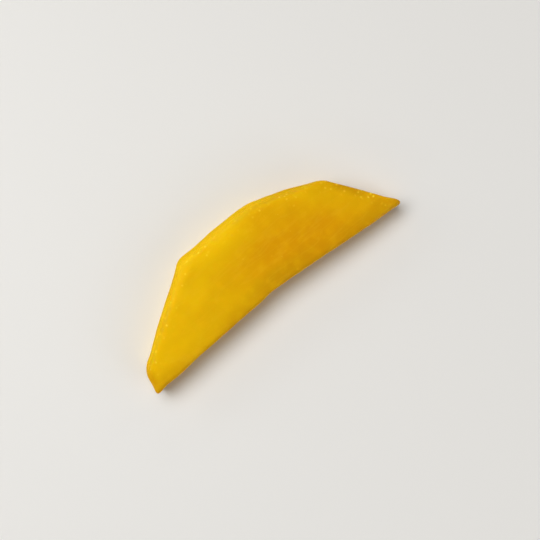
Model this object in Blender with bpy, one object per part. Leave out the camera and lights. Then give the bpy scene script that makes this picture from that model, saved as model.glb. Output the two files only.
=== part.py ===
"""A peeled mango slice, cut lengthwise from one cheek of the fruit.

Run it with blender --background --python part.py, or from Blender's text editor.

The slice lies on one flat cut face. +X runs along it towards the stalk end, +Y runs from the side
that lay on the stone towards the peeled side, and +Z is up. The origin is the centre of the box
round the slice, on the surface that it rests on.

It is made the way the cook makes it: the peeling knife trims a block of flesh with one straight
stroke after another, and two level cuts turn the block into a slice. Each edge is then rounded by
a few thin shavings. All cuts are flat until the end, when the slice takes its gentle curves.
"""

import math
from dataclasses import dataclass

import bmesh
import bpy
from mathutils import Matrix, Vector

MM = 0.001
WELD = 0.002  # points closer than this many millimetres are one point
COLLECTION = "mango_slice"
NODE = "mango_chunk"

# Driving dimensions, in millimetres. Plan places are measured from the tip at the blossom end,
# x along the slice and y away from the stone.
BLOCK = (140.0, 80.0, 33.0)  # the flesh that the knife starts from
BLOCK_MIDDLE = (47.0, 15.0, 5.5)
THICKNESS = 11.0  # between the two level cuts
STALK_TIP = (93.4, -0.9)  # where the last stroke ends
SNIP_END = (91.6, -1.5)  # the stalk tip is snipped off, from STALK_TIP to here
STONE_LEAN = -5.0  # degrees, so that the stone side tucks in under the top face
STONE_HOLLOW = 3.0  # how far the stone side curves in
HOLLOW_PLACE = 47.0  # where it curves in furthest
HOLLOW_BLEND = 10.0  # how softly its two halves meet there
HOLLOW_REACH = 22.0  # how far from the stone side the slice follows that curve
PEEL_BULGE = 0.6  # how far the peeled side bulges halfway up, where the slice is widest
SLICE_WIDTH = 28.0  # from the stone to the widest place of the peeled side
STONE_DROP = 1.2  # how much thinner the slice is along the stone side
BLOSSOM_DROP = 1.3  # at the blossom tip
STALK_DROP = 2.4  # and at the stalk tip
BLOSSOM_TAPER = 26.0  # length of the thinner stretch at the blossom end
STALK_TAPER = 40.0  # and at the stalk end

# Rounding, in millimetres taken off the faces on both sides of an edge.
CORNER_ROUND = 1.6  # between two strokes
TIP_ROUND = 0.85  # at the snipped tip
CRISP_ROUND = 0.5  # a fresh knife edge
SOFT_ROUND = 2.2  # where a stroke leans in fully, so that the flesh rolls over to the top face
FULL_LEAN = 15.0  # degrees
NEARLY_FLAT = math.radians(2)  # an edge flatter than this is left as it is
FLAT = 0.9  # a face is level when its normal's z is over this
SHAVINGS = 3  # flat shavings that make one rounding

# Cross-sections that let the slice follow its curves.
STATION_STEP = 2.5
LEVELS = (0.2, 0.4, 0.6)  # heights on the peeled side, as parts of the thickness

FLESH_COLOUR = (0.80, 0.42, 0.02, 1.0)
FLESH_ROUGHNESS = 0.38


@dataclass(frozen=True)
class Stroke:
    """One straight pass of the peeling knife, seen from above, up to the start of the next one.

    A positive lean, in degrees, makes that side slope in towards the top face.
    """

    start: tuple
    lean: float


STROKES = (
    Stroke((0.0, 0.0), lean=-3.0),
    Stroke((1.4, 8.2), lean=9.0),
    Stroke((20.0, 21.4), lean=12.0),
    Stroke((29.8, 27.7), lean=15.0),
    Stroke((43.5, 28.6), lean=13.0),
    Stroke((56.4, 28.2), lean=9.0),
    Stroke((66.4, 25.0), lean=3.0),
    Stroke((78.3, 19.3), lean=-4.0),
)


def clear_scene():
    """Removes what the scene starts with."""
    for obj in list(bpy.data.objects):
        bpy.data.objects.remove(obj)


def cut(bm, place, normal):
    """One straight knife cut: all that lies on the normal's side falls away."""
    everything = bm.verts[:] + bm.edges[:] + bm.faces[:]
    bmesh.ops.bisect_plane(
        bm, geom=everything, dist=WELD, plane_co=place, plane_no=normal, clear_outer=True
    )
    bmesh.ops.holes_fill(bm, edges=bm.edges[:], sides=0)


def divide(bm, place, normal):
    """Adds a row of points where a plane crosses the slice, and takes nothing away."""
    everything = bm.verts[:] + bm.edges[:] + bm.faces[:]
    bmesh.ops.bisect_plane(bm, geom=everything, dist=WELD, plane_co=place, plane_no=normal)


def trim_side(bm, start, end, lean):
    """Cuts one side of the block. Its widest edge on the slice runs from start to end."""
    along = (Vector(end) - Vector(start)).normalized()
    tilt = math.radians(lean)
    normal = Vector((-along.y * math.cos(tilt), along.x * math.cos(tilt), math.sin(tilt)))
    widest = 0.0 if lean >= 0 else THICKNESS
    cut(bm, Vector((*start, widest)), normal)


def peeled_block():
    """A thick block of flesh with all its sides cut, in millimetres from the blossom tip."""
    bm = bmesh.new()
    place = Matrix.LocRotScale(Vector(BLOCK_MIDDLE), None, Vector(BLOCK))
    bmesh.ops.create_cube(bm, size=1.0, matrix=place)
    ends = [stroke.start for stroke in STROKES[1:]] + [STALK_TIP]
    for stroke, end in zip(STROKES, ends):
        trim_side(bm, stroke.start, end, stroke.lean)
    trim_side(bm, STALK_TIP, SNIP_END, 0.0)
    trim_side(bm, SNIP_END, STROKES[0].start, STONE_LEAN)
    return bm


def corner_width(edge):
    """The rounding of an upright edge, where two sides of the block meet."""
    normals = [face.normal for face in edge.link_faces]
    upright = max(abs(normal.z) for normal in normals) < FLAT
    faces_stone = min(normal.y for normal in normals) < -0.5
    at_stalk = max(normal.x for normal in normals) > 0.5
    if not upright:
        return 0.0
    if not faces_stone:
        return CORNER_ROUND
    return TIP_ROUND if at_stalk else CRISP_ROUND


def rim_width(edge):
    """The rounding of an edge of the top or bottom face, softest over the most sloping stroke."""
    low, high = sorted(face.normal.z for face in edge.link_faces)
    if low < -FLAT:
        return CRISP_ROUND
    if high < FLAT:
        return 0.0
    share = min(1.0, max(0.0, low / math.sin(math.radians(FULL_LEAN))))
    return CRISP_ROUND + (SOFT_ROUND - CRISP_ROUND) * share


def shavings(edge, width):
    """The places and directions of the cuts that round an edge. All touch one cylinder."""
    first, second = (face.normal.copy() for face in edge.link_faces)
    turn = first.angle(second)
    radius = width / math.tan(turn / 2)
    axis = edge.verts[0].co - (first + second) * radius / (1 + first.dot(second))
    for index in range(SHAVINGS):
        direction = first.slerp(second, (index + 1) / (SHAVINGS + 1))
        yield axis + direction * radius, direction


def round_edges(bm, width_of):
    """Rounds each edge of the convex block by the width that width_of gives for it."""
    bm.normal_update()
    cuts = []
    for edge in bm.edges:
        width = width_of(edge)
        if width > 0 and edge.calc_face_angle() > NEARLY_FLAT:
            cuts.extend(shavings(edge, width))
    for place, direction in cuts:
        cut(bm, place, direction)


def slice_block(bm):
    """Cuts the slice out of the block, level above and below."""
    up = Vector((0.0, 0.0, 1.0))
    cut(bm, up * THICKNESS, up)
    cut(bm, Vector((0.0, 0.0, 0.0)), -up)


def add_points(bm):
    """Divides the slice along its length and height, so that it can follow its curves."""
    for level in LEVELS:
        divide(bm, Vector((0.0, 0.0, level * THICKNESS)), Vector((0.0, 0.0, 1.0)))
    for index in range(1, int(STALK_TIP[0] / STATION_STEP) + 1):
        divide(bm, Vector((index * STATION_STEP, 0.0, 0.0)), Vector((1.0, 0.0, 0.0)))


def hollow_at(x):
    """How far the stone side lies inside the straight line between the tips."""
    room = HOLLOW_PLACE if x < HOLLOW_PLACE else SNIP_END[0] - HOLLOW_PLACE
    deepest = math.hypot(room, HOLLOW_BLEND) - HOLLOW_BLEND
    here = math.hypot(x - HOLLOW_PLACE, HOLLOW_BLEND) - HOLLOW_BLEND
    return STONE_HOLLOW * max(0.0, 1 - here / deepest)


def bulge_at(z):
    """How far the peeled side bulges at this height."""
    return PEEL_BULGE * (1 - (2 * z / THICKNESS - 1) ** 2)


def drop_at(x, y):
    """How much thinner than in the middle of the peeled side the slice is here."""
    blossom = max(0.0, 1 - x / BLOSSOM_TAPER)
    stalk = max(0.0, 1 - (STALK_TIP[0] - x) / STALK_TAPER)
    stone = 1 - y / SLICE_WIDTH
    return BLOSSOM_DROP * blossom**2 + STALK_DROP * stalk**2 + STONE_DROP * stone


def shape(bm):
    """Moves the points into the stone side's hollow, the peeled side's bulge and the thin ends."""
    for vert in bm.verts:
        x, y, z = vert.co
        nearness = min(1.0, max(0.0, 1 - y / HOLLOW_REACH))
        width_share = max(0.0, y / SLICE_WIDTH)
        vert.co.y = y + hollow_at(x) * nearness + bulge_at(z) * width_share
        vert.co.z = z - drop_at(x, y) * z / THICKNESS


def centre_and_scale(bm):
    """Brings the origin to the bottom centre of the box, and the size to metres."""
    lows = [min(vert.co[axis] for vert in bm.verts) for axis in range(3)]
    highs = [max(vert.co[axis] for vert in bm.verts) for axis in range(3)]
    centre = Vector(((lows[0] + highs[0]) / 2, (lows[1] + highs[1]) / 2, lows[2]))
    bm.transform(Matrix.Scale(MM, 4) @ Matrix.Translation(-centre))


def flesh_material():
    """Moist, ripe mango flesh."""
    material = bpy.data.materials.new("mango_flesh")
    material.use_nodes = True
    shader = material.node_tree.nodes["Principled BSDF"]
    shader.inputs["Base Color"].default_value = FLESH_COLOUR
    shader.inputs["Roughness"].default_value = FLESH_ROUGHNESS
    shader.inputs["Metallic"].default_value = 0.0
    return material


def build_slice(collection):
    """Adds the mango slice to the collection."""
    bm = peeled_block()
    round_edges(bm, corner_width)
    slice_block(bm)
    round_edges(bm, rim_width)
    add_points(bm)
    shape(bm)
    centre_and_scale(bm)
    mesh = bpy.data.meshes.new(NODE)
    bm.to_mesh(mesh)
    bm.free()
    mesh.shade_smooth()
    mesh.set_sharp_from_angle(angle=math.radians(40))
    mesh.materials.append(flesh_material())
    collection.objects.link(bpy.data.objects.new(NODE, mesh))


def main():
    """Builds the slice in its own collection."""
    clear_scene()
    collection = bpy.data.collections.new(COLLECTION)
    bpy.context.scene.collection.children.link(collection)
    build_slice(collection)


if __name__ == "__main__":
    main()
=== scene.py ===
"""The looks of one peeled mango slice on a pale studio floor.

The frame holds the slice as it is cut. This script replaces it with a piece of the same cut whose
surface has what the knife and ripe flesh leave on it: soft rims, faint waves, fibres, vein ends
and a film of juice.

+X runs along the slice towards the stalk end, +Y from the side that lay on the stone towards the
peeled side, and +Z is up. Blender's lengths are metres. The lengths of the slice and its flesh are
written in millimetres, and MM turns them into metres. Those of the studio are in metres.
"""

import logging
import math
from dataclasses import dataclass, field
from enum import Enum

import bpy
import numpy as np
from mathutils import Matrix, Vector
from mathutils.kdtree import KDTree

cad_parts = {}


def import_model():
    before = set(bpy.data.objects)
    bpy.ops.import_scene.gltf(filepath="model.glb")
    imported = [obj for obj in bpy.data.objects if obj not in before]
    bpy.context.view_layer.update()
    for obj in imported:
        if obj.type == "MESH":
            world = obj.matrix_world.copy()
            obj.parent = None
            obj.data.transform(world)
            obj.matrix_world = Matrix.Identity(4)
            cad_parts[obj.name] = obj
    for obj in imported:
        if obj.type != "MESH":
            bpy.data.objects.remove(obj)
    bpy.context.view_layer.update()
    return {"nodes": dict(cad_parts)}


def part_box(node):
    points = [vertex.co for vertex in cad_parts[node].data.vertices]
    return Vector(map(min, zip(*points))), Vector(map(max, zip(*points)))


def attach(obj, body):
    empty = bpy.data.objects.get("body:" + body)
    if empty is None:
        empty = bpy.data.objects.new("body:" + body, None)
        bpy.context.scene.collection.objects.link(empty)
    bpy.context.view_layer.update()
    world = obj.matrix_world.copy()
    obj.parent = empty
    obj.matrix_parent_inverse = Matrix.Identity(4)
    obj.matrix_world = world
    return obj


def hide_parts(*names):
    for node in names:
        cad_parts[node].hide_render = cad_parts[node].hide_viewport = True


MM = 0.001
NODE = "mango_chunk"
BODY = "root"

# Inputs and output of a Mix node that mixes colours.
FACTOR = 0
COLOUR_A = 6
COLOUR_B = 7
MIXED = 2

# The middle value of a noise pattern.
NOISE_MIDDLE = 0.5

# A dot starts to show at its edge, and shows most from 0.8 of its strength upwards.
DOT_SPAN = (0.0, 0.8)

Object = bpy.types.Object
Tree = bpy.types.NodeTree
Socket = bpy.types.NodeSocket

LOG = logging.getLogger("mango_slice")


class Measure(Enum):
    """What the slice writes on each point of its mesh, for its material to read."""

    FROM_PEEL = "from_peel"
    FROM_STONE = "from_stone"
    UPWARD = "upward"


# ---- Small helpers ----


def linear(hex_colour: str) -> tuple[float, float, float, float]:
    """Turns an sRGB hex colour to linear, by the curve of the sRGB standard.

    Args:
        hex_colour: six hex digits after a hash, such as "#F2C014".

    Returns:
        Linear red, green and blue, and an alpha of 1.
    """
    channels = [int(hex_colour[start : start + 2], 16) / 255 for start in (1, 3, 5)]
    red, green, blue = (
        value / 12.92 if value <= 0.04045 else ((value + 0.055) / 1.055) ** 2.4 for value in channels
    )
    return red, green, blue, 1.0


def towards(flat: tuple[float, float], height: float) -> Vector:
    """Works out a direction.

    Args:
        flat: which way it points, seen from above.
        height: its angle over the floor, in degrees.

    Returns:
        The direction, of length 1.
    """
    across = Vector(flat).normalized()
    rise = math.radians(height)
    return Vector((across.x * math.cos(rise), across.y * math.cos(rise), math.sin(rise)))


def select_only(obj: Object) -> None:
    """Makes one object the only selected one, and the active one.

    Args:
        obj: the object.
    """
    bpy.ops.object.select_all(action="DESELECT")
    obj.select_set(True)
    bpy.context.view_layer.objects.active = obj


def apply_modifier(obj: Object, kind: str, **settings: object) -> None:
    """Adds a modifier and applies it.

    Args:
        obj: the object that it changes.
        kind: the modifier's type, such as "REMESH".
        **settings: its properties by name.
    """
    select_only(obj)
    modifier = obj.modifiers.new(kind.lower(), kind)
    for name, value in settings.items():
        setattr(modifier, name, value)
    bpy.ops.object.modifier_apply(modifier=modifier.name)


def points_of(piece: Object) -> np.ndarray:
    """Reads where the points of a mesh are.

    Args:
        piece: the mesh object.

    Returns:
        One row of x, y and z for each point, in millimetres.
    """
    points = np.empty(len(piece.data.vertices) * 3)
    piece.data.vertices.foreach_get("co", points)
    return points.reshape(-1, 3) / MM


def normals_of(piece: Object) -> np.ndarray:
    """Reads which way the surface faces at the points of a mesh.

    Args:
        piece: the mesh object.

    Returns:
        One row of x, y and z for each point, of length 1.
    """
    normals = np.empty(len(piece.data.vertices) * 3)
    piece.data.vertex_normals.foreach_get("vector", normals)
    return normals.reshape(-1, 3)


def distance_to(chosen: np.ndarray, points: np.ndarray) -> np.ndarray:
    """Measures how far each point lies from the nearest chosen one.

    Args:
        chosen: true for the points that are measured from.
        points: all points.

    Returns:
        The distances.
    """
    tree = KDTree(int(chosen.sum()))
    for index, point in enumerate(points[chosen]):
        tree.insert(point, index)
    tree.balance()
    return np.array([tree.find(point)[2] for point in points])


def nearness(distance: np.ndarray, reach: float) -> np.ndarray:
    """Turns distances into weights that fall from 1 to 0 over a reach."""
    return np.clip(1 - distance / reach, 0, 1)


def add_node(
    tree: Tree,
    kind: str,
    settings: dict[str | int, object] | None = None,
    links: dict[str | int, Socket] | None = None,
) -> bpy.types.Node:
    """Adds one shader node.

    Args:
        tree: the node tree that it joins.
        kind: its type, such as "ShaderNodeTexNoise".
        settings: values by the name of a property, or by the name or number of an input.
        links: outputs of other nodes, by the name or number of the input that each one feeds.

    Returns:
        The new node.
    """
    node = tree.nodes.new(kind)
    for name, value in (settings or {}).items():
        if isinstance(name, str) and hasattr(node, name):
            setattr(node, name, value)
        else:
            node.inputs[name].default_value = value
    for name, output in (links or {}).items():
        tree.links.new(output, node.inputs[name])
    return node


# ---- What finishes are made of ----


@dataclass(frozen=True)
class Tint:
    """A colour that shows where a pattern is strong.

    Attributes:
        colour: its hex colour.
        span: the pattern's values where it starts to show and where it shows most.
        most: how much of it shows there, from 0 to 1.
    """

    colour: str
    span: tuple[float, float]
    most: float = 1.0


@dataclass
class ColourStack:
    """Colours laid over each other in one material.

    Attributes:
        tree: the material's nodes.
        ground: the hex colour at the bottom.
        top: the colour so far, once something is laid.
    """

    tree: Tree
    ground: str
    top: Socket | None = None

    def lay(self, tint: Tint, pattern: Socket) -> None:
        """Lays one more colour over those so far.

        Args:
            tint: the colour.
            pattern: where it shows.
        """
        start, full = tint.span
        spread = {
            "interpolation_type": "SMOOTHSTEP",
            "From Min": start,
            "From Max": full,
            "To Max": tint.most,
        }
        amount = add_node(self.tree, "ShaderNodeMapRange", spread, {"Value": pattern})
        colours = {"data_type": "RGBA", COLOUR_A: linear(self.ground), COLOUR_B: linear(tint.colour)}
        links = {FACTOR: amount.outputs["Result"]}
        if self.top:
            links[COLOUR_A] = self.top
        self.top = add_node(self.tree, "ShaderNodeMix", colours, links).outputs[MIXED]

    def lay_along(self, tint: Tint, pattern: Socket, level: float) -> None:
        """Lays a colour along the lines where a pattern has one value.

        Args:
            tint: the colour, whose span says how far the pattern is from that value.
            pattern: the pattern.
            level: the value.
        """
        over = add_node(
            self.tree, "ShaderNodeMath", {"operation": "SUBTRACT", 1: level}, {0: pattern}
        ).outputs["Value"]
        away = add_node(self.tree, "ShaderNodeMath", {"operation": "ABSOLUTE"}, {0: over})
        self.lay(tint, away.outputs["Value"])


@dataclass(frozen=True)
class Skin:
    """What the slice's material reads at each point of its surface, with lengths in millimetres.

    Attributes:
        tree: the material's nodes.
        place: the object coordinates.
        from_peel: the distance from the peeled side.
        from_stone: the distance from the side that lay on the stone.
        upward: the upward part of the normal, which is 1 on a level top and 0 on an upright side.
    """

    tree: Tree
    place: Socket
    from_peel: Socket
    from_stone: Socket
    upward: Socket

    @classmethod
    def read(cls, tree: Tree) -> "Skin":
        """Adds the nodes that read the surface.

        Args:
            tree: the material's nodes.

        Returns:
            What they read.
        """
        metres = add_node(tree, "ShaderNodeTexCoord").outputs["Object"]
        enlarge = {"operation": "SCALE", "Scale": 1 / MM}
        place = add_node(tree, "ShaderNodeVectorMath", enlarge, {"Vector": metres}).outputs["Vector"]
        from_peel, from_stone, upward = (
            add_node(tree, "ShaderNodeAttribute", {"attribute_name": measure.value}).outputs["Fac"]
            for measure in (Measure.FROM_PEEL, Measure.FROM_STONE, Measure.UPWARD)
        )
        return cls(tree, place, from_peel, from_stone, upward)


@dataclass(frozen=True)
class Dots:
    """Small soft dots scattered over the flesh: vein ends, and painted glints. Lengths are in millimetres.

    Attributes:
        tint: their colour.
        spacing: how far apart they would lie if none were missing.
        radius: how large one is.
        missing: the share of them that does not show.
    """

    tint: Tint
    spacing: float
    radius: float
    missing: float

    def lay_on(self, stack: ColourStack, place: Socket, where: Socket | None = None) -> None:
        """Lays the dots over the colours so far.

        Some are strong and some are faint, by the random colour of the cell that each one is in.

        Args:
            stack: the colours.
            place: the coordinates.
            where: how well they show there, if that isn't the same everywhere.
        """
        tree = stack.tree
        cells = add_node(tree, "ShaderNodeTexVoronoi", {"Scale": 1 / self.spacing}, {"Vector": place})
        disc = {
            "interpolation_type": "SMOOTHSTEP",
            "From Min": self.radius / self.spacing,
            "From Max": 0.0,
        }
        links = {"Value": cells.outputs["Distance"]}
        if where:
            links["To Max"] = where
        near = add_node(tree, "ShaderNodeMapRange", disc, links).outputs["Result"]
        luck = add_node(tree, "ShaderNodeSeparateColor", links={"Color": cells.outputs["Color"]})
        kept = add_node(
            tree,
            "ShaderNodeMapRange",
            {"From Min": self.missing},
            {"Value": luck.outputs["Red"], "To Max": near},
        )
        stack.lay(self.tint, kept.outputs["Result"])


@dataclass(frozen=True)
class Pool:
    """A soft-edged oval region of another colour inside the flesh. Lengths are in millimetres.

    Attributes:
        tint: its colour, whose span runs from 0 at its edge to 1 in its middle.
        middle: where it is along and across the slice.
        size: how far it reaches from there along its own length and across it.
        turn: how far its length is turned from the slice's, in degrees.
        height: how high its middle is.
        rise: how far it reaches from there up and down, which is right through the slice.
    """

    tint: Tint
    middle: tuple[float, float]
    size: tuple[float, float]
    turn: float = 0.0
    height: float = 6.0
    rise: float = 22.0

    def lay_on(self, stack: ColourStack, place: Socket) -> None:
        """Lays the region over the colours so far.

        Args:
            stack: the colours.
            place: the coordinates.
        """
        oval = {
            "vector_type": "TEXTURE",
            "Location": (*self.middle, self.height),
            "Rotation": (0.0, 0.0, math.radians(self.turn)),
            "Scale": (*self.size, self.rise),
        }
        around = add_node(stack.tree, "ShaderNodeMapping", oval, {"Vector": place}).outputs["Vector"]
        ball = {"gradient_type": "SPHERICAL"}
        inside = add_node(stack.tree, "ShaderNodeTexGradient", ball, {"Vector": around})
        stack.lay(self.tint, inside.outputs["Fac"])


@dataclass(frozen=True)
class Bumps:
    """One layer of unevenness too fine for the mesh.

    Attributes:
        size: how far apart the bumps are, in millimetres.
        height: how high they are, in millimetres.
        detail: how much finer unevenness they carry.
    """

    size: float
    height: float
    detail: float = 1.0

    def lay_on(self, skin: Skin, under: bpy.types.Node | None = None) -> bpy.types.Node:
        """Makes the layer.

        Args:
            skin: what the material reads.
            under: the layer that it lies on.

        Returns:
            The layer's node.
        """
        pattern = {"Scale": 1 / self.size, "Detail": self.detail}
        bumps = add_node(skin.tree, "ShaderNodeTexNoise", pattern, {"Vector": skin.place})
        links = {"Height": bumps.outputs["Fac"]}
        if under:
            links["Normal"] = under.outputs["Normal"]
        return add_node(skin.tree, "ShaderNodeBump", {"Distance": self.height * MM}, links)


# ---- Finishes ----


@dataclass(frozen=True)
class FleshColours:
    """The colours of ripe mango flesh, with painted shade, painted light and painted glints among them,
    from the broadest to the finest. Lengths are in millimetres.

    Attributes:
        flesh: the yellow under all the others.
        heart: the orange in the middle of the slice.
        under_peel: lemon yellow, by the distance from the peeled side.
        ridge_shade: painted shade, a deeper yellow along the rolled rim of that side, which the lamps
            light more than the top, by how far its slope is from ridge_slope.
        ridge_slope: that slope, as the upward part of its normal.
        peeled_face_painted_light: painted light, a brighter yellow on the steep peeled side itself, which
        the lamps light less than the top, by the upward part of its normal.
        shoulder: the brightest yellow, at the widest place of the slice.
        stalk_end: a deeper yellow, by how far along the slice it is.
        stone_side_colour_and_shade: darker towards the stone, partly the deeper flesh there and partly
        painted shade where the top rolls away from the light, by the distance from that side.
        pools: smaller regions that are paler or deeper. The deep one at the blossom tip is painted shade,
        where the top curves down away from the light.
        stone_rim: painted shade, the thin dark rim of the stone side where it rolls away from the light,
        by the distance from that side.
        stone_face_colour_and_light: a warm yellow on the stone side itself, the flesh's own warmer
        colour made lighter as painted light, because that side lies in shade.
        stone_face_reach: how far off that side it has faded out, and
        stone_face_slope: the upward parts of normals between which it fades in at the rim.
        stone_fibre: pale fibres on the stone side.
        fibre_size: one fibre along, across and up. Those by the stone are the fruit's coarsest.
        fibre_turn: how far the fibres are turned from the slice's length, in degrees.
        fibre_detail: how much finer variation fibres and strands carry.
        pale_cloud: the pale clouds in all the flesh.
        deep_cloud: the deeper patches between them.
        patch_size: how large a patch is, about as large as a pea.
        patch_detail: how much finer variation it carries.
        strand: thin curved strands along the fruit, where drawn-out waves have their middle value.
        strand_size: one wave along, across and up.
        dots: vein ends, pale and brown, where the cut crosses veins about a millimetre thick.
        painted_glints: painted glints, pale specks about a millimetre wide along the peeled rim, which
            stand in for light glinting on juice and are strongest where the rim rolls over.
        glint_reach: how far from the peeled side the last ones are.
        glint_slope: the upward parts of normals where they are faint and where they are strong.
        glint_least: how strong they still are on the peeled side, from 0 to 1.
        waver: how far the outlines of dots waver.
        waver_size: the length over which they do.
        waver_detail: how much finer wavering they carry.
    """

    flesh: str = "#E4B204"
    heart: Pool = Pool(Tint("#DD9B03", (0.0, 0.7), 0.95), (20.0, -4.5), (40.0, 18.0), -16.0)
    under_peel: Tint = Tint("#EBBB05", (13.0, 0.0))
    # Painted shade: a deeper yellow on the rolled peeled rim, which the lamps light more than the top.
    ridge_shade: Tint = Tint("#D9AF05", (0.34, 0.06))
    ridge_slope: float = 0.70
    # Painted light: a brighter yellow on the steep peeled side, which the lamps light less than the top.
    peeled_face_painted_light: Tint = Tint("#F8CE0B", (0.42, 0.18), 0.85)
    shoulder: Pool = Pool(Tint("#F5C808", (0.0, 0.6), 0.60), (-7.0, 14.0), (20.0, 9.0))
    stalk_end: Tint = Tint("#DCA303", (24.0, 45.0), 0.90)
    # Partly painted shade: darker towards the stone side, where the top rolls away from the light.
    stone_side_colour_and_shade: Tint = Tint("#BF8903", (6.5, 0.0), 0.52)
    pools: tuple[Pool, ...] = (
        Pool(Tint("#F0C108", (0.0, 0.5), 0.50), (-20.0, 4.5), (10.0, 8.0), 35.0),
        Pool(Tint("#ECBF06", (0.0, 0.6), 0.42), (-27.0, -8.8), (16.0, 5.5), 3.0),
        Pool(Tint("#DFA103", (0.0, 0.5), 0.50), (15.0, 6.0), (13.0, 6.0), -20.0),
        Pool(Tint("#C69303", (0.0, 0.9), 0.42), (6.0, -8.3), (18.0, 5.0), -2.0),
        # Painted shade at the blossom tip, where the top curves down away from the light.
        Pool(Tint("#CE9806", (0.0, 0.7), 0.60), (-46.0, -9.0), (3.4, 9.0), -12.0),
        Pool(Tint("#D8A606", (0.0, 0.7), 0.70), (23.0, 11.0), (15.0, 4.0), -22.0),
        Pool(Tint("#BC8805", (0.0, 0.8), 0.60), (37.2, -0.6), (8.0, 3.0), -55.0),
    )
    # Painted shade: a thin dark rim where the stone side rolls away from the light.
    stone_rim: Tint = Tint("#A06002", (1.4, 0.2), 0.20)
    # Partly painted light: the stone side's warm yellow is made lighter, because that side lies in shade.
    stone_face_colour_and_light: Tint = Tint("#F6B610", (0.0, 1.0), 0.80)
    stone_face_reach: float = 0.6
    stone_face_slope: tuple[float, float] = (0.80, 0.40)
    stone_fibre: Tint = Tint("#FCD45C", (0.46, 0.68), 0.45)
    fibre_size: tuple[float, float, float] = (14.0, 0.8, 0.8)
    fibre_turn: float = -4.0
    fibre_detail: float = 3.0
    pale_cloud: Tint = Tint("#F0C010", (0.42, 0.74), 0.21)
    deep_cloud: Tint = Tint("#CC9404", (0.46, 0.72), 0.17)
    patch_size: float = 9.0
    patch_detail: float = 2.0
    strand: Tint = Tint("#F3C532", (0.03, 0.0), 0.10)
    strand_size: tuple[float, float, float] = (24.0, 3.5, 3.5)
    dots: tuple[Dots, ...] = (
        Dots(Tint("#F3C62E", DOT_SPAN, 0.45), spacing=3.6, radius=0.55, missing=0.55),
        Dots(Tint("#F5CC40", DOT_SPAN, 0.40), spacing=2.3, radius=0.30, missing=0.60),
        Dots(Tint("#A87C04", DOT_SPAN, 0.42), spacing=6.5, radius=0.75, missing=0.55),
    )
    # Painted glints: pale specks along the peeled rim that stand in for light glinting on juice.
    painted_glints: tuple[Dots, ...] = (
        Dots(Tint("#FFDE40", DOT_SPAN, 0.88), spacing=1.4, radius=0.62, missing=0.12),
        Dots(Tint("#FFD932", DOT_SPAN, 0.62), spacing=2.4, radius=0.88, missing=0.20),
    )
    glint_reach: float = 5.5
    glint_slope: tuple[float, float] = (0.25, 0.60)
    glint_least: float = 0.15
    waver: float = 0.6
    waver_size: float = 1.3
    waver_detail: float = 1.0

    def mix(self, skin: Skin, clouds: Socket) -> Socket:
        """Lays all the colours over each other.

        Args:
            skin: what the material reads.
            clouds: the pattern of the pale clouds.

        Returns:
            The colour of the flesh.
        """
        stack = ColourStack(skin.tree, self.flesh)
        self._lay_depths(stack, skin)
        self._lay_stone_side(stack, skin)
        self._lay_clouds(stack, skin, clouds)
        self._lay_dots(stack, skin)
        return stack.top

    def _lay_depths(self, stack: ColourStack, skin: Skin) -> None:
        """Lays the colours that change with the depth under the peel and along the slice, with painted
        shade on the rolled rim and by the stone, and painted light on the steep peeled side.

        Args:
            stack: the colours so far.
            skin: what the material reads.
        """
        along = add_node(skin.tree, "ShaderNodeSeparateXYZ", links={"Vector": skin.place}).outputs["X"]
        self.heart.lay_on(stack, skin.place)
        stack.lay(self.under_peel, skin.from_peel)
        # Painted shade on the rolled peeled rim.
        stack.lay_along(self.ridge_shade, skin.upward, self.ridge_slope)
        # Painted light on the steep peeled side.
        stack.lay(self.peeled_face_painted_light, skin.upward)
        self.shoulder.lay_on(stack, skin.place)
        stack.lay(self.stalk_end, along)
        # Darker towards the stone side: deeper flesh and painted shade together.
        stack.lay(self.stone_side_colour_and_shade, skin.from_stone)
        for pool in self.pools:
            pool.lay_on(stack, skin.place)

    def _lay_stone_side(self, stack: ColourStack, skin: Skin) -> None:
        """Lays the painted shade on the rim and the fibrous face, partly painted light, of the side that
        lay on the stone.

        Args:
            stack: the colours so far.
            skin: what the material reads.
        """
        # Painted shade on the stone rim.
        stack.lay(self.stone_rim, skin.from_stone)
        reach = {"From Min": self.stone_face_reach, "From Max": 0.0}
        near = add_node(skin.tree, "ShaderNodeMapRange", reach, {"Value": skin.from_stone})
        start, full = self.stone_face_slope
        on_face = add_node(
            skin.tree,
            "ShaderNodeMapRange",
            {"From Min": start, "From Max": full},
            {"Value": skin.upward, "To Max": near.outputs["Result"]},
        ).outputs["Result"]
        # The stone side's own warm colour, lifted as painted light.
        stack.lay(self.stone_face_colour_and_light, on_face)
        fibres = self._drawn_out(skin, self.fibre_size)
        fibres_on_face = add_node(
            skin.tree, "ShaderNodeMath", {"operation": "MULTIPLY"}, {0: on_face, 1: fibres}
        )
        stack.lay(self.stone_fibre, fibres_on_face.outputs["Value"])

    def _lay_clouds(self, stack: ColourStack, skin: Skin, clouds: Socket) -> None:
        """Lays the clouds, the patches between them and the thin strands along the fruit.

        Args:
            stack: the colours so far.
            skin: what the material reads.
            clouds: the pattern of the pale clouds.
        """
        pattern = {"Scale": 1 / self.patch_size, "Detail": self.patch_detail}
        patches = add_node(skin.tree, "ShaderNodeTexNoise", pattern, {"Vector": skin.place})
        stack.lay(self.pale_cloud, clouds)
        stack.lay(self.deep_cloud, patches.outputs["Fac"])
        stack.lay_along(self.strand, self._drawn_out(skin, self.strand_size), NOISE_MIDDLE)

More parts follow.
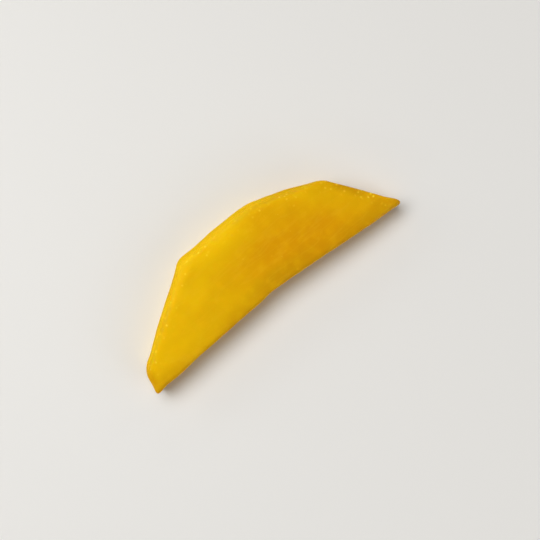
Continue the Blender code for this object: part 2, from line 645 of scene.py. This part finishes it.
    def _lay_dots(self, stack: ColourStack, skin: Skin) -> None:
        """Lays the vein ends and the painted glints along the peeled rim, whose outlines waver a little.

        Args:
            stack: the colours so far.
            skin: what the material reads.
        """
        pattern = {"Scale": 1 / self.waver_size, "Detail": self.waver_detail}
        sway = add_node(skin.tree, "ShaderNodeTexNoise", pattern, {"Vector": skin.place})
        wavering = add_node(
            skin.tree,
            "ShaderNodeVectorMath",
            {"operation": "MULTIPLY_ADD", 1: (self.waver, self.waver, self.waver)},
            {0: sway.outputs["Color"], 2: skin.place},
        ).outputs["Vector"]
        for dots in self.dots:
            dots.lay_on(stack, wavering)
        # Painted glints: pale specks along the peeled rim, strongest where it rolls over.
        faint, strong = self.glint_slope
        slope = {"From Min": faint, "From Max": strong, "To Min": self.glint_least}
        rim = add_node(skin.tree, "ShaderNodeMapRange", slope, {"Value": skin.upward})
        glint_mask = add_node(
            skin.tree,
            "ShaderNodeMapRange",
            {"From Min": self.glint_reach, "From Max": 0.0},
            {"Value": skin.from_peel, "To Max": rim.outputs["Result"]},
        ).outputs["Result"]
        for painted_glints in self.painted_glints:
            painted_glints.lay_on(stack, wavering, glint_mask)

    def _drawn_out(self, skin: Skin, size: tuple[float, float, float]) -> Socket:
        """Makes a pattern that is drawn out along the fruit, as its fibres are.

        Args:
            skin: what the material reads.
            size: one of its waves along, across and up.

        Returns:
            The pattern, from 0 to 1.
        """
        stretch = {
            "Rotation": (0.0, 0.0, math.radians(self.fibre_turn)),
            "Scale": tuple(1 / length for length in size),
        }
        waves = add_node(skin.tree, "ShaderNodeMapping", stretch, {"Vector": skin.place}).outputs["Vector"]
        pattern = {"Scale": 1.0, "Detail": self.fibre_detail}
        return add_node(skin.tree, "ShaderNodeTexNoise", pattern, {"Vector": waves}).outputs["Fac"]


@dataclass(frozen=True)
class WetSheen:
    """How light plays on wet mango flesh and a little way into it.

    Attributes:
        refraction: of the flesh, a little more than water's.
        specular: how much the open cut mirrors, where 0.5 is what a smooth one would.
        satin: the roughness of the cut at both ends of satin_clouds.
        satin_clouds: the cloud pattern's values there.
        glow: the share of the light that goes into the flesh and comes out beside.
        glow_depth: how far it goes, in millimetres.
        glow_tint: how far red, green and blue go, as shares of that.
        juice: how much juice stands on the cut at both ends of juice_clouds, from 0 to 1.
        juice_clouds: the cloud pattern's values there.
        juice_roughness: of the film of juice, which is nearly smooth.
        juice_refraction: of the juice, which is mostly water.
    """

    refraction: float = 1.37
    specular: float = 0.20
    satin: tuple[float, float] = (0.36, 0.50)
    satin_clouds: tuple[float, float] = (0.3, 0.7)
    glow: float = 0.55
    glow_depth: float = 1.6
    glow_tint: tuple[float, float, float] = (1.0, 0.45, 0.06)
    juice: tuple[float, float] = (0.55, 0.90)
    juice_clouds: tuple[float, float] = (0.65, 0.35)
    juice_roughness: float = 0.07
    juice_refraction: float = 1.34

    def set_on(self, shader: bpy.types.Node, skin: Skin, clouds: Socket) -> None:
        """Sets up a shader.

        Args:
            shader: the material's shader.
            skin: what the material reads.
            clouds: the pattern that makes the cut rougher, and thins the juice where it does.
        """
        shares = {
            "Roughness": (self.satin_clouds, self.satin),
            "Coat Weight": (self.juice_clouds, self.juice),
        }
        for name, ((start, end), (low, high)) in shares.items():
            span = {"From Min": start, "From Max": end, "To Min": low, "To Max": high}
            share = add_node(skin.tree, "ShaderNodeMapRange", span, {"Value": clouds})
            skin.tree.links.new(share.outputs["Result"], shader.inputs[name])
        shader.inputs["Coat Roughness"].default_value = self.juice_roughness
        shader.inputs["Coat IOR"].default_value = self.juice_refraction
        shader.inputs["IOR"].default_value = self.refraction
        shader.inputs["Specular IOR Level"].default_value = self.specular
        shader.inputs["Subsurface Weight"].default_value = self.glow
        shader.inputs["Subsurface Radius"].default_value = self.glow_tint
        shader.inputs["Subsurface Scale"].default_value = self.glow_depth * MM


@dataclass(frozen=True)
class FineRelief:
    """The unevenness of the cut that is too fine for the mesh.

    Attributes:
        ripples: what the knife leaves, a little over a millimetre apart.
        grain: the open cells of the cut. They are about 0.1 mm wide, too fine to show, so they
            are drawn about four times as large.
        drops: juice that stands in drops along the peeled rim. They are drawn steeper than real
            ones, so that they catch the light.
        drop_reach: how far from the peeled side the last ones are, in millimetres.
    """

    ripples: Bumps = Bumps(size=1.2, height=0.09)
    grain: Bumps = Bumps(size=0.42, height=0.014)
    drops: Bumps = Bumps(size=0.9, height=0.50)
    drop_reach: float = 2.4

    def set_on(self, shader: bpy.types.Node, skin: Skin) -> None:
        """Gives a shader its unevenness.

        The film of juice fills the grain, follows the ripples and gathers in the drops.

        Args:
            shader: the material's shader.
            skin: what the material reads.
        """
        ripples = self.ripples.lay_on(skin)
        grain = self.grain.lay_on(skin, ripples)
        drops = self.drops.lay_on(skin, ripples)
        reach = {"From Min": self.drop_reach, "From Max": 0.0}
        near = add_node(skin.tree, "ShaderNodeMapRange", reach, {"Value": skin.from_peel})
        skin.tree.links.new(near.outputs["Result"], drops.inputs["Strength"])
        skin.tree.links.new(drops.outputs["Normal"], shader.inputs["Coat Normal"])
        skin.tree.links.new(grain.outputs["Normal"], shader.inputs["Normal"])


@dataclass(frozen=True)
class RipeMangoFlesh:
    """Ripe mango flesh, knife-cut and wet with its own juice.

    To the eye it is a saturated lemon yellow just under the peel that deepens to orange in the
    middle, cloudy at the size of a lentil, with a few faint strands and vein ends, and fibrous
    where it was cut from the stone. Light goes a millimetre or two into it, so its rims glow. The
    cut is satin, not mirror-like, under a thin film of juice that breaks lamps up into glints. Its
    colours also hold painted shade on the rims and by the stone, painted light on the steep sides
    and painted glints along the peeled rim.

    Attributes:
        colours: its colours.
        sheen: how light plays on it.
        relief: its finest unevenness.
        cloud_size: how large a pale cloud is, in millimetres.
        cloud_detail: how much finer variation it carries.
    """

    colours: FleshColours = FleshColours()
    sheen: WetSheen = WetSheen()
    relief: FineRelief = FineRelief()
    cloud_size: float = 3.2
    cloud_detail: float = 4.0

    def material(self) -> bpy.types.Material:
        """Makes the material.

        Returns:
            The material, whose patterns read object coordinates and the measures that the slice
            writes on its mesh.
        """
        material = bpy.data.materials.new("ripe_mango_flesh_knife_cut_wet")
        material.use_nodes = True
        shader = material.node_tree.nodes["Principled BSDF"]
        skin = Skin.read(material.node_tree)
        pattern = {"Scale": 1 / self.cloud_size, "Detail": self.cloud_detail}
        noise = add_node(skin.tree, "ShaderNodeTexNoise", pattern, {"Vector": skin.place})
        clouds = noise.outputs["Fac"]
        skin.tree.links.new(self.colours.mix(skin, clouds), shader.inputs["Base Color"])
        self.sheen.set_on(shader, skin, clouds)
        self.relief.set_on(shader, skin)
        return material


@dataclass(frozen=True)
class MattPaleBoard:
    """Painted studio board: pale, warm and matt, so that it shows only soft shadows.

    Attributes:
        paint: its hex colour.
        roughness: of the paint, from 0 to 1.
    """

    paint: str = "#E7E5E1"
    roughness: float = 0.85

    def material(self) -> bpy.types.Material:
        """Makes the material.

        Returns:
            The material.
        """
        material = bpy.data.materials.new("matt_pale_studio_board")
        material.use_nodes = True
        shader = material.node_tree.nodes["Principled BSDF"]
        shader.inputs["Base Color"].default_value = linear(self.paint)
        shader.inputs["Roughness"].default_value = self.roughness
        return material


# ---- The slice ----


class Region(Enum):
    """A part of the slice's surface, kept as a vertex group."""

    OPEN = "open"
    PEELED_RIM = "peeled_rim"
    PEELED_WALL = "peeled_wall"
    STONE_RIM = "stone_rim"
    STONE_WALL = "stone_wall"


class Pattern(Enum):
    """How a layer of unevenness runs, as a noise basis of Blender's clouds texture."""

    WAVES = "IMPROVED_PERLIN"
    SCOOPS = "VORONOI_F1"


@dataclass(frozen=True)
class Relief:
    """One layer of unevenness on the flesh. Lengths are in millimetres.

    Attributes:
        name: what leaves it.
        size: one bump along, across and up the slice.
        depth: how far it goes in and out, about.
        region: the part of the surface that has it.
        turn: how far its length is turned from the slice's, in degrees.
        place: where in the endless pattern it is taken from, in metres along it.
        pattern: how it runs.
    """

    name: str
    size: tuple[float, float, float]
    depth: float
    region: Region
    turn: float = 0.0
    place: float = 0.0
    pattern: Pattern = Pattern.WAVES

    def press_into(self, piece: Object) -> None:
        """Presses the layer into a piece.

        Args:
            piece: the slice.
        """
        texture = bpy.data.textures.new(self.name, "CLOUDS")
        texture.noise_basis = self.pattern.value
        texture.noise_scale = 1.0
        texture.noise_depth = 1
        turn = (0.0, 0.0, math.radians(self.turn))
        bpy.ops.object.empty_add(location=(self.place, 0.0, 0.0), rotation=turn)
        space = bpy.context.active_object
        space.scale = [length * MM for length in self.size]
        bpy.context.view_layer.update()
        apply_modifier(
            piece,
            "DISPLACE",
            texture=texture,
            texture_coords="OBJECT",
            texture_coords_object=space,
            strength=self.depth * MM,
            mid_level=NOISE_MIDDLE,
            vertex_group=self.region.value,
        )
        bpy.data.objects.remove(space)
        bpy.data.textures.remove(texture)


@dataclass(frozen=True)
class Nudge:
    """One push or pull on the flesh that fades out round it. Lengths are in millimetres.

    Attributes:
        name: what it makes.
        start: one end of the line that moves most, and
        end: the other end.
        move: where the line goes.
        reach: how far from it the flesh still moves.
        grip: how far from it the flesh moves as much as the line.
    """

    name: str
    start: tuple[float, float, float]
    end: tuple[float, float, float]
    move: tuple[float, float, float]
    reach: float
    grip: float = 0.5

    def press_into(self, piece: Object) -> None:
        """Moves the flesh of a piece.

        Args:
            piece: the slice.
        """
        points = points_of(piece)
        start = np.array(self.start)
        line = np.array(self.end) - start
        length = max(float(line @ line), self.grip**2)
        share = np.clip((points - start) @ line / length, 0, 1)
        away = np.linalg.norm(points - start - share[:, None] * line, axis=1)
        select_only(piece)
        bpy.ops.object.mode_set(mode="EDIT")
        bpy.ops.mesh.select_mode(type="VERT")
        bpy.ops.mesh.select_all(action="DESELECT")
        bpy.ops.object.mode_set(mode="OBJECT")
        piece.data.vertices.foreach_set("select", away < max(self.grip, away.min() + self.grip))
        bpy.ops.object.mode_set(mode="EDIT")
        bpy.ops.transform.translate(
            value=[part * MM for part in self.move],
            use_proportional_edit=True,
            proportional_edit_falloff="SMOOTH",
            proportional_size=self.reach * MM,
        )
        bpy.ops.object.mode_set(mode="OBJECT")


@dataclass
class MangoSlice:
    """The slice itself: one solid of flesh, cut level above and below. Lengths are in millimetres.

    Attributes:
        flesh: its finish.
        weld: points closer than this are one point.
        grid: the size of one face of the fine mesh.
        evening: smoothing passes that take the remeshing's steps away.
        rounding: smoothing passes for each rim.
        softness: how far one pass moves a point towards its neighbours, from 0 to 1.
        upright_slope: a face is upright when the upward part of its normal is under this.
        stone_facing: it faces the stone when the part of its normal across the slice is, too.
        rim_slopes: the upward parts of normals between which the surface rolls over a rim.
        rim_reach: how far from a rim its rounding reaches.
        wall_reach: how far from an upright side its own marks reach.
        roll_places: places along the slice, and
        roll_shares: how softly the peeled side rolls over to the top face there.
        nudges: what the knife and the fingers did to the shape.
        reliefs: the layers of unevenness, from the broadest to the finest. Knife lines and grain
            are finer on real flesh, and are drawn about as fine as the mesh can hold.
        foot: the height over which the relief fades in from the flat underside.
        contact: what is lower than this touches the floor.
    """

    flesh: RipeMangoFlesh = field(default_factory=RipeMangoFlesh)
    weld: float = 0.001
    grid: float = 0.28
    evening: int = 4
    rounding: dict[Region, int] = field(
        default_factory=lambda: {Region.PEELED_RIM: 110, Region.STONE_RIM: 30}
    )
    softness: float = 0.5
    upright_slope: float = 0.7
    stone_facing: float = -0.5
    rim_slopes: tuple[float, float] = (0.35, 0.97)
    rim_reach: float = 4.0
    wall_reach: float = 1.5
    roll_places: tuple[float, ...] = (-44.0, -40.0, 8.0, 24.0)
    roll_shares: tuple[float, ...] = (0.15, 1.0, 1.0, 0.15)
    nudges: tuple[Nudge, ...] = (
        Nudge("blossom_tip", (-46.0, -13.4, 9.0), (-46.0, -13.4, 3.0), (-0.40, -0.45, 0.0), 3.5),
        Nudge("stalk_tip", (45.7, -14.2, 8.0), (45.5, -14.2, 3.0), (0.90, 0.10, 0.0), 4.0),
        Nudge("stalk_side", (33.0, 6.0, 8.5), (43.5, -9.5, 8.0), (0.45, 0.50, 0.0), 8.0),
        Nudge("blossom_corner", (-44.3, -5.6, 8.5), (-44.3, -5.6, 2.5), (-0.38, 0.20, 0.0), 5.0),
        Nudge("middle_corner", (-16.2, 13.8, 8.0), (-16.4, 14.6, 2.0), (-0.14, 0.26, 0.0), 5.0),
        Nudge("stone_rim", (-38.0, -13.0, 8.5), (-6.0, -11.3, 9.0), (0.0, -0.35, 0.0), 5.0),
        Nudge("blossom_stroke", (-41.5, -3.2, 4.5), (-18.0, 13.4, 6.5), (-0.04, 0.06, 0.0), 4.5),
        Nudge("middle_stroke", (-14.0, 14.8, 6.5), (8.0, 15.0, 4.5), (0.0, 0.28, 0.0), 4.5),
        Nudge("stalk_stroke", (13.0, 13.9, 5.0), (31.0, 6.5, 6.0), (0.10, 0.24, 0.0), 4.5),
        Nudge("thumb_dent", (-14.0, 3.0, 10.0), (-10.0, 5.0, 10.0), (0.0, 0.0, -0.30), 9.0),
        Nudge("knife_dip", (20.0, -6.0, 9.5), (31.0, -2.0, 9.5), (0.0, 0.0, -0.28), 8.0),
        Nudge("swell", (-30.0, -5.0, 9.0), (-24.0, -4.0, 9.0), (0.0, 0.0, 0.22), 9.0),
    )
    reliefs: tuple[Relief, ...] = (
        Relief("sag", (17.0, 14.0, 14.0), 0.50, Region.OPEN, place=3.0),
        Relief("rim_wander", (7.0, 5.0, 5.0), 0.35, Region.PEELED_RIM, place=8.0),
        Relief("knife_scoops", (10.0, 8.0, 7.0), 0.36, Region.PEELED_WALL, 0.0, 2.0, Pattern.SCOOPS),
        Relief("knife_lines", (0.9, 0.9, 14.0), 0.07, Region.PEELED_WALL, place=14.0),
        Relief("stone_fibres", (16.0, 1.2, 1.2), 0.30, Region.STONE_WALL, turn=-3.0, place=5.0),
        Relief("stone_rim_fray", (3.2, 2.2, 2.2), 0.24, Region.STONE_RIM, place=11.0),
        Relief("fibres", (11.0, 2.0, 2.0), 0.035, Region.OPEN, turn=-4.0, place=17.0),
        Relief("grain", (1.3, 1.1, 1.1), 0.03, Region.OPEN, place=23.0),
    )
    foot: float = 1.6
    contact: float = 0.12

    def build(self, node: Object) -> Object:
        """Makes the finished slice.

        Args:
            node: the CAD node that it stands for.

        Returns:
            The finished piece.
        """
        piece = self._copy(node)
        apply_modifier(piece, "REMESH", mode="VOXEL", voxel_size=self.grid * MM)
        apply_modifier(piece, "SMOOTH", factor=self.softness, iterations=self.evening)
        self._mark_regions(piece)
        for region, passes in self.rounding.items():
            apply_modifier(
                piece, "SMOOTH", factor=self.softness, iterations=passes, vertex_group=region.value
            )
        for shape in (*self.nudges, *self.reliefs):
            LOG.info("%s: pressing in %s", piece.name, shape.name)
            shape.press_into(piece)
        self._rest_flat(piece)
        self._measure(piece)
        self._dress(piece)
        return piece

    def _copy(self, node: Object) -> Object:
        """Starts from the cut itself, as a copy whose loose triangles are joined.

        Args:
            node: the CAD node, which stays as it is.

        Returns:
            The copy, as one closed skin without the node's own marks.
        """
        select_only(node)
        bpy.ops.object.duplicate()
        piece = bpy.context.active_object
        piece.name = "flesh_slice"
        piece.data.name = "flesh_slice"
        piece.parent = None
        for name in list(piece.keys()):
            del piece[name]
        bpy.ops.object.mode_set(mode="EDIT")
        bpy.ops.mesh.select_all(action="SELECT")
        bpy.ops.mesh.remove_doubles(threshold=self.weld * MM)
        bpy.ops.object.mode_set(mode="OBJECT")
        return piece

    def _from_walls(self, points: np.ndarray, normals: np.ndarray) -> tuple[np.ndarray, np.ndarray]:
        """Measures how far each point lies from the two upright sides.

        Args:
            points: all points.
            normals: their normals.

        Returns:
            The distances from the peeled side and from the stone side.
        """
        upright = np.abs(normals[:, 2]) < self.upright_slope
        stone = upright & (normals[:, 1] < self.stone_facing)
        return distance_to(upright & ~stone, points), distance_to(stone, points)

    def _mark_regions(self, piece: Object) -> None:
        """Writes the vertex groups that keep each treatment to its part of the surface.

        Args:
            piece: the slice.
        """
        points = points_of(piece)
        normals = normals_of(piece)
        from_peel, from_stone = self._from_walls(points, normals)
        low, high = self.rim_slopes
        rolling = (normals[:, 2] > low) & (normals[:, 2] < high)
        from_peeled_rim = distance_to(rolling & (from_peel < from_stone), points)
        from_stone_rim = distance_to(rolling & (from_peel > from_stone), points)
        above = np.clip(points[:, 2] / self.foot, 0, 1)
        soft = np.interp(points[:, 0], self.roll_places, self.roll_shares)
        weights = {
            Region.OPEN: above,
            Region.PEELED_RIM: nearness(from_peeled_rim, self.rim_reach) * soft,
            Region.PEELED_WALL: nearness(from_peel, self.wall_reach) * above,
            Region.STONE_RIM: nearness(from_stone_rim, self.rim_reach),
            Region.STONE_WALL: nearness(from_stone, self.wall_reach) * above,
        }
        for region, values in weights.items():
            group = piece.vertex_groups.new(name=region.value)
            for index in np.flatnonzero(values > 0):
                group.add([int(index)], float(values[index]), "REPLACE")

    def _rest_flat(self, piece: Object) -> None:
        """Presses the underside flat on the floor, as the weight of the slice does.

        Args:
            piece: the slice.
        """
        points = points_of(piece)
        points[points[:, 2] < self.contact, 2] = 0.0
        piece.data.vertices.foreach_set("co", points.ravel() * MM)
        piece.data.update()

    def _measure(self, piece: Object) -> None:
        """Writes on each point what the material reads there.

        Args:
            piece: the slice.
        """
        normals = normals_of(piece)
        from_peel, from_stone = self._from_walls(points_of(piece), normals)
        measures = {
            Measure.FROM_PEEL: from_peel,
            Measure.FROM_STONE: from_stone,
            Measure.UPWARD: normals[:, 2],
        }
        for measure, values in measures.items():
            layer = piece.data.attributes.new(measure.value, "FLOAT", "POINT")
            layer.data.foreach_set("value", values.astype(np.float32))

    def _dress(self, piece: Object) -> None:
        """Gives the piece its finish, hangs it on the body and hides the CAD node.

        Args:
            piece: the slice.
        """
        select_only(piece)
        bpy.ops.object.shade_smooth()
        piece.vertex_groups.clear()
        piece.data.materials.clear()
        piece.data.materials.append(self.flesh.material())
        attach(piece, BODY)
        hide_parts(NODE)


# ---- The studio ----


@dataclass(frozen=True)
class SoftBox:
    """A square soft lamp that faces the slice. Lengths are in metres.

    Attributes:
        name: the lamp's name.
        flat: the way from the slice to the lamp, seen from above.
        height: its angle over the floor, in degrees.
        distance: how far off it stands.
        side: the length of one side.
        power: in watts.
        mirrored: whether wet flesh mirrors it.
    """

    name: str
    flat: tuple[float, float]
    height: float
    distance: float
    side: float
    power: float
    mirrored: bool = False

    def hang(self) -> None:
        """Hangs the lamp."""
        way = towards(self.flat, self.height)
        turn = way.to_track_quat("Z", "Y").to_euler()
        bpy.ops.object.light_add(type="AREA", location=way * self.distance, rotation=turn)
        lamp = bpy.context.active_object
        lamp.name = self.name
        lamp.visible_camera = False
        lamp.visible_glossy = self.mirrored
        lamp.data.size = self.side
        lamp.data.energy = self.power


@dataclass(frozen=True)
class WindowRing:
    """Equal small windows all round the slice, so that wet flesh glints from every side.

    Attributes:
        count: how many there are.
        first: the direction of the first, in degrees from the slice's length.
        height: their angle over the floor, in degrees.
        distance: how far off they stand, in metres.
        side: the length of one side, in metres.
        power: in watts.
    """

    count: int = 8
    first: float = 12.5
    height: float = 22.0
    distance: float = 0.9
    side: float = 0.14
    power: float = 0.22

    def hang(self) -> None:
        """Hangs the windows."""
        for index in range(self.count):
            turn = math.radians(self.first + 360 * index / self.count)
            flat = (math.cos(turn), math.sin(turn))
            name = f"window_{index + 1}"
            SoftBox(name, flat, self.height, self.distance, self.side, self.power, mirrored=True).hang()


@dataclass(frozen=True)
class WideSun:
    """The main light, far off and very wide, so that it is soft and even on the floor.

    Attributes:
        flat: the way to it, seen from above.
        height: its angle over the floor, in degrees.
        width: how wide it looks from the slice, in degrees.
        strength: in watts for each square metre.
    """

    flat: tuple[float, float] = (-0.155, 1.406)
    height: float = 64.0
    width: float = 44.0
    strength: float = 1.85

    def hang(self) -> None:
        """Hangs the light. Wet flesh doesn't mirror it, as through a polarising filter."""
        turn = towards(self.flat, self.height).to_track_quat("Z", "Y").to_euler()
        bpy.ops.object.light_add(type="SUN", rotation=turn)
        sun = bpy.context.active_object
        sun.name = "wide_key"
        sun.visible_glossy = False
        sun.data.angle = math.radians(self.width)
        sun.data.energy = self.strength


@dataclass(frozen=True)
class Room:
    """The room round the studio: pale walls under a dark ceiling, which keeps the yellow deep.

    What is below has the yellow of the flesh itself. Only reflections see it, because the floor
    hides it from the camera and the light.

    Attributes:
        walls: the hex colour of the walls.
        ceiling: the ceiling's colour, by the upward part of a direction of length 1.
        below: the same for what is below.
    """

    walls: str = "#A9A8A3"
    ceiling: Tint = Tint("#4A4A49", (0.06, 0.24))
    below: Tint = Tint("#D9A008", (-0.03, -0.12))

    def paint(self) -> None:
        """Makes the world."""
        world = bpy.data.worlds.new("studio_room")
        world.use_nodes = True
        tree = world.node_tree
        way = add_node(tree, "ShaderNodeTexCoord").outputs["Generated"]
        upward = add_node(tree, "ShaderNodeSeparateXYZ", links={"Vector": way}).outputs["Z"]
        stack = ColourStack(tree, self.walls)
        stack.lay(self.ceiling, upward)
        stack.lay(self.below, upward)
        tree.links.new(stack.top, tree.nodes["Background"].inputs["Color"])
        bpy.context.scene.world = world


@dataclass
class Studio:
    """The floor, the light and the camera. Lengths are in metres.

    The photograph is taken from straight above, so the camera is too, turned so that the slice
    lies across the picture as it does there.

    Attributes:
        board: the floor's finish.
        floor_side: the length of the floor.
        sun: the main light.
        lamps: the smaller ones. The near one makes the slice brighter at its blossom end.
        windows: the ones that give glints.
        room: what is round the studio.
        photo_turn: how far the slice is turned in the picture, in degrees.
        photo_middle: the place under the middle of the picture.
        photo_width: how much of the slice's top face fits across the picture.
        focal_length: the lens, in real millimetres, and
        sensor: the width behind it.
        nearest: the least distance at which the camera sees anything.
    """

    board: MattPaleBoard = field(default_factory=MattPaleBoard)
    floor_side: float = 30.0
    sun: WideSun = field(default_factory=WideSun)
    lamps: tuple[SoftBox, ...] = (
        SoftBox("near_key", (-0.9, 0.9), height=56.0, distance=0.42, side=0.20, power=0.45),
        SoftBox("low_key", (-0.57, 0.82), height=18.0, distance=0.6, side=0.20, power=0.32),
        SoftBox("front_fill", (0.4, -1.0), height=28.0, distance=0.8, side=0.5, power=1.2),
    )
    windows: WindowRing = field(default_factory=WindowRing)
    room: Room = field(default_factory=Room)
    photo_turn: float = -38.7
    photo_middle: tuple[float, float] = (0.00334, -0.00564)
    photo_width: float = 0.162
    focal_length: float = 85.0
    sensor: float = 36.0
    nearest: float = 0.01

    def build(self, top: float) -> None:
        """Sets up the floor, the light and the camera.

        Args:
            top: how high the slice is.
        """
        self._lay_floor()
        self.sun.hang()
        for lamp in self.lamps:
            lamp.hang()
        self.windows.hang()
        self.room.paint()
        self._aim_camera(top)

    def _lay_floor(self) -> None:
        """Lays the pale board that the slice rests on.

        The wet flesh doesn't mirror it, because that would lay a milky veil over its steep sides.
        """
        bpy.ops.mesh.primitive_plane_add(size=self.floor_side)
        floor = bpy.context.active_object
        floor.name = "studio_floor"
        floor.visible_glossy = False
        floor.data.materials.append(self.board.material())

    def _aim_camera(self, top: float) -> None:
        """Puts the camera over the slice, so that the slice's top face has the photograph's scale.

        Args:
            top: how high the slice is.
        """
        height = top + self.photo_width * self.focal_length / self.sensor
        turn = (0.0, 0.0, math.radians(self.photo_turn))
        bpy.ops.object.camera_add(location=(*self.photo_middle, height), rotation=turn)
        camera = bpy.context.active_object
        camera.name = "photo_camera"
        camera.data.lens = self.focal_length
        camera.data.sensor_width = self.sensor
        camera.data.clip_start = self.nearest
        bpy.context.scene.camera = camera
        bpy.context.scene.view_settings.view_transform = "Standard"


def main() -> None:
    logging.basicConfig(level=logging.INFO, format="%(message)s")
    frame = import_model()
    _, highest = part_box(NODE)
    piece = MangoSlice().build(frame["nodes"][NODE])
    LOG.info("%s: %d faces", piece.name, len(piece.data.polygons))
    Studio().build(highest.z)
    LOG.info("studio: floor, lamps and camera")


if __name__ == "__main__":
    main()
